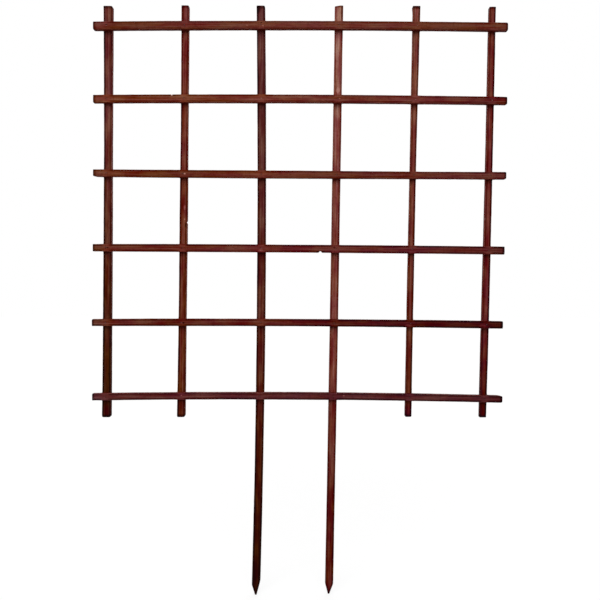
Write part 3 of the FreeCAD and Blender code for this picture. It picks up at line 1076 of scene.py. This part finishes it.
def stained_redwood(name):
    """Rough-sawn redwood that has taken a thin red oil stain: growth rings, long streaks and fibres
    along the grain, faint saw marks across it, stain gone deep at the end grain, painted shade on the
    sawn sides and along the arrises with a painted highlight on the very arris, painted shadow under
    the rails, painted glints and shade at the brads, and no shine to speak of."""
    material = empty_material(f"{name}_stained_redwood")
    tree = material.node_tree
    flecks, rings = wood_grain(tree, name)
    faces = lath_faces(tree, name)
    tone = stain_and_shade_tone(tree, name, flecks, rings, faces)
    relief = flecks["fibres"][0]
    for fleck, depth in RELIEF.items():
        relief = shifted(tree, relief, *flecks[fleck], -depth)
    bump = add_node(
        tree, "Bump", inputs={"Strength": 1.0, "Distance": FIBRE_RELIEF * MM, "Height": relief}
    )
    shader = add_node(
        tree,
        "BsdfPrincipled",
        inputs={
            "Specular IOR Level": 0.035,
            "IOR": 1.5,
            "Base Color": stain_and_shade_colour(tree, name, flecks, faces, tone),
            "Roughness": shifted(tree, DULL, *flecks["streaks"], LESS_DULL - DULL),
            "Normal": bump.outputs[0],
        },
    )
    add_node(tree, "OutputMaterial", inputs={"Surface": shader.outputs[0]})
    return material


def dulled_steel():
    """Galvanised steel wire, flattened and glued into strips: grey, satin, spotted with wood stain."""
    material = empty_material("dulled_galvanised_steel")
    tree = material.node_tree
    place = add_node(tree, "TexCoord").outputs["Object"]
    spots = add_node(
        tree,
        "TexNoise",
        inputs={"Vector": place, "Scale": 1 / (STEEL_SPOT * MM), "Detail": 3.0},
    ).outputs[0]
    colour = add_node(
        tree,
        "ValToRGB",
        inputs={0: spots},
        stops=[(place, linear(colour)) for place, colour in SPOTTED_STEEL],
    ).outputs[0]
    metal = add_node(
        tree,
        "MapRange",
        inputs={"Value": spots, "From Min": 0.5, "From Max": 0.68, "To Max": BARE_METAL},
    ).outputs[0]
    shader = add_node(
        tree,
        "BsdfPrincipled",
        inputs={"Roughness": 0.5, "Base Color": colour, "Metallic": metal},
    )
    add_node(tree, "OutputMaterial", inputs={"Surface": shader.outputs[0]})
    return material


# Making the trellis

laths = {name: build_lath(name) for name in RAILS + UPRIGHTS}

brad = model_brad("brad", 0.0, 0.0)
ease_head()
close_model(angle=40)
slot = model_brad("brad_slot", BRAD_ROOM, SLOT_REACH)
close_model(angle=30)

steel = dulled_steel()
for name, lath in laths.items():
    seats = [Vector((x, BRAD_SET - LATH_THICKNESS, z)) * MM for x, z in crossings_of(name)]
    cut_away(lath, repeat_at(slot, "slots", seats))
    if is_rail(name):
        brads = repeat_at(brad, f"{name}_gun_brads", seats)
        brads.data.materials.append(steel)
        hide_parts(f"{name}_brads")
        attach(brads, "root")
bpy.data.objects.remove(brad)
bpy.data.objects.remove(slot)

for name, *notch in NOTCHES:
    cut_away(laths[name], model_notch(name, *notch))

for name, piece in laths.items():
    piece.data.materials.append(stained_redwood(name))
    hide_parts(name)
    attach(piece, "root")

# Camera, fitted to the laths' places in the photograph

eye = bpy.data.cameras.new("camera")
eye.lens = 45.48
eye.sensor_width = 36.0
camera = bpy.data.objects.new("camera", eye)
bpy.context.scene.collection.objects.link(camera)
camera.location = (0.0030, -1.5671, 0.6548)
camera.rotation_euler = (math.radians(88.6), math.radians(-0.3), 0.0)
bpy.context.scene.camera = camera

# Floor, backdrop and light. What the floor gives back and what it glows with add up to white, and
# SKY_LIGHT is how strongly the white surroundings light the object.

FLOOR_GREY = 0.20
SKY_LIGHT = 0.48


def background_rays(tree):
    """1 where a ray shows the background, straight or in metal and glass, and 0 where it lights."""
    path = add_node(tree, "LightPath")
    seen = path.outputs["Is Camera Ray"]
    for ray in ("Is Glossy Ray", "Is Transmission Ray"):
        seen = add_node(
            tree, "Math", {"operation": "MAXIMUM"}, {0: seen, 1: path.outputs[ray]}
        ).outputs[0]
    return seen


deselect_all()
bpy.ops.mesh.primitive_plane_add(size=16, location=(0, 4, 0))
floor = bpy.context.object
floor.name = "floor"

floor_paint = empty_material("pale_floor")
tree = floor_paint.node_tree
white = add_node(
    tree, "Math", {"operation": "MULTIPLY"}, {0: background_rays(tree), 1: 1 - FLOOR_GREY}
)
grey = (FLOOR_GREY, FLOOR_GREY, FLOOR_GREY, 1)
paint = add_node(tree, "BsdfDiffuse", inputs={"Color": grey})
glow = add_node(tree, "Emission", inputs={"Strength": white.outputs[0]})
both = add_node(tree, "AddShader", inputs={0: paint.outputs[0], 1: glow.outputs[0]})
add_node(tree, "OutputMaterial", inputs={"Surface": both.outputs[0]})
floor.data.materials.append(floor_paint)

world = bpy.data.worlds.new("studio")
bpy.context.scene.world = world
world.use_nodes = True
tree = world.node_tree
tree.nodes.clear()
level = add_node(
    tree, "MapRange", inputs={"Value": background_rays(tree), "To Min": SKY_LIGHT, "To Max": 1.0}
)
sky = add_node(
    tree, "Background", inputs={"Color": (1, 1, 1, 1), "Strength": level.outputs[0]}
)
add_node(tree, "OutputWorld", inputs={"Surface": sky.outputs[0]})


def soft_sun(name, direction, strength, spread):
    """A broad soft light that comes from far away, so that it is even from head to foot."""
    lamp = bpy.data.lights.new(name, "SUN")
    lamp.energy = strength
    lamp.angle = math.radians(spread)
    sun = bpy.data.objects.new(name, lamp)
    bpy.context.scene.collection.objects.link(sun)
    sun.rotation_euler = Vector(direction).to_track_quat("-Z", "Y").to_euler()


soft_sun("front_light", direction=(0.15, 1.0, -0.58), strength=2.2, spread=50)
soft_sun("back_light", direction=(-0.15, -1.0, -0.4), strength=2.0, spread=60)

bpy.context.scene.view_settings.view_transform = "Standard"
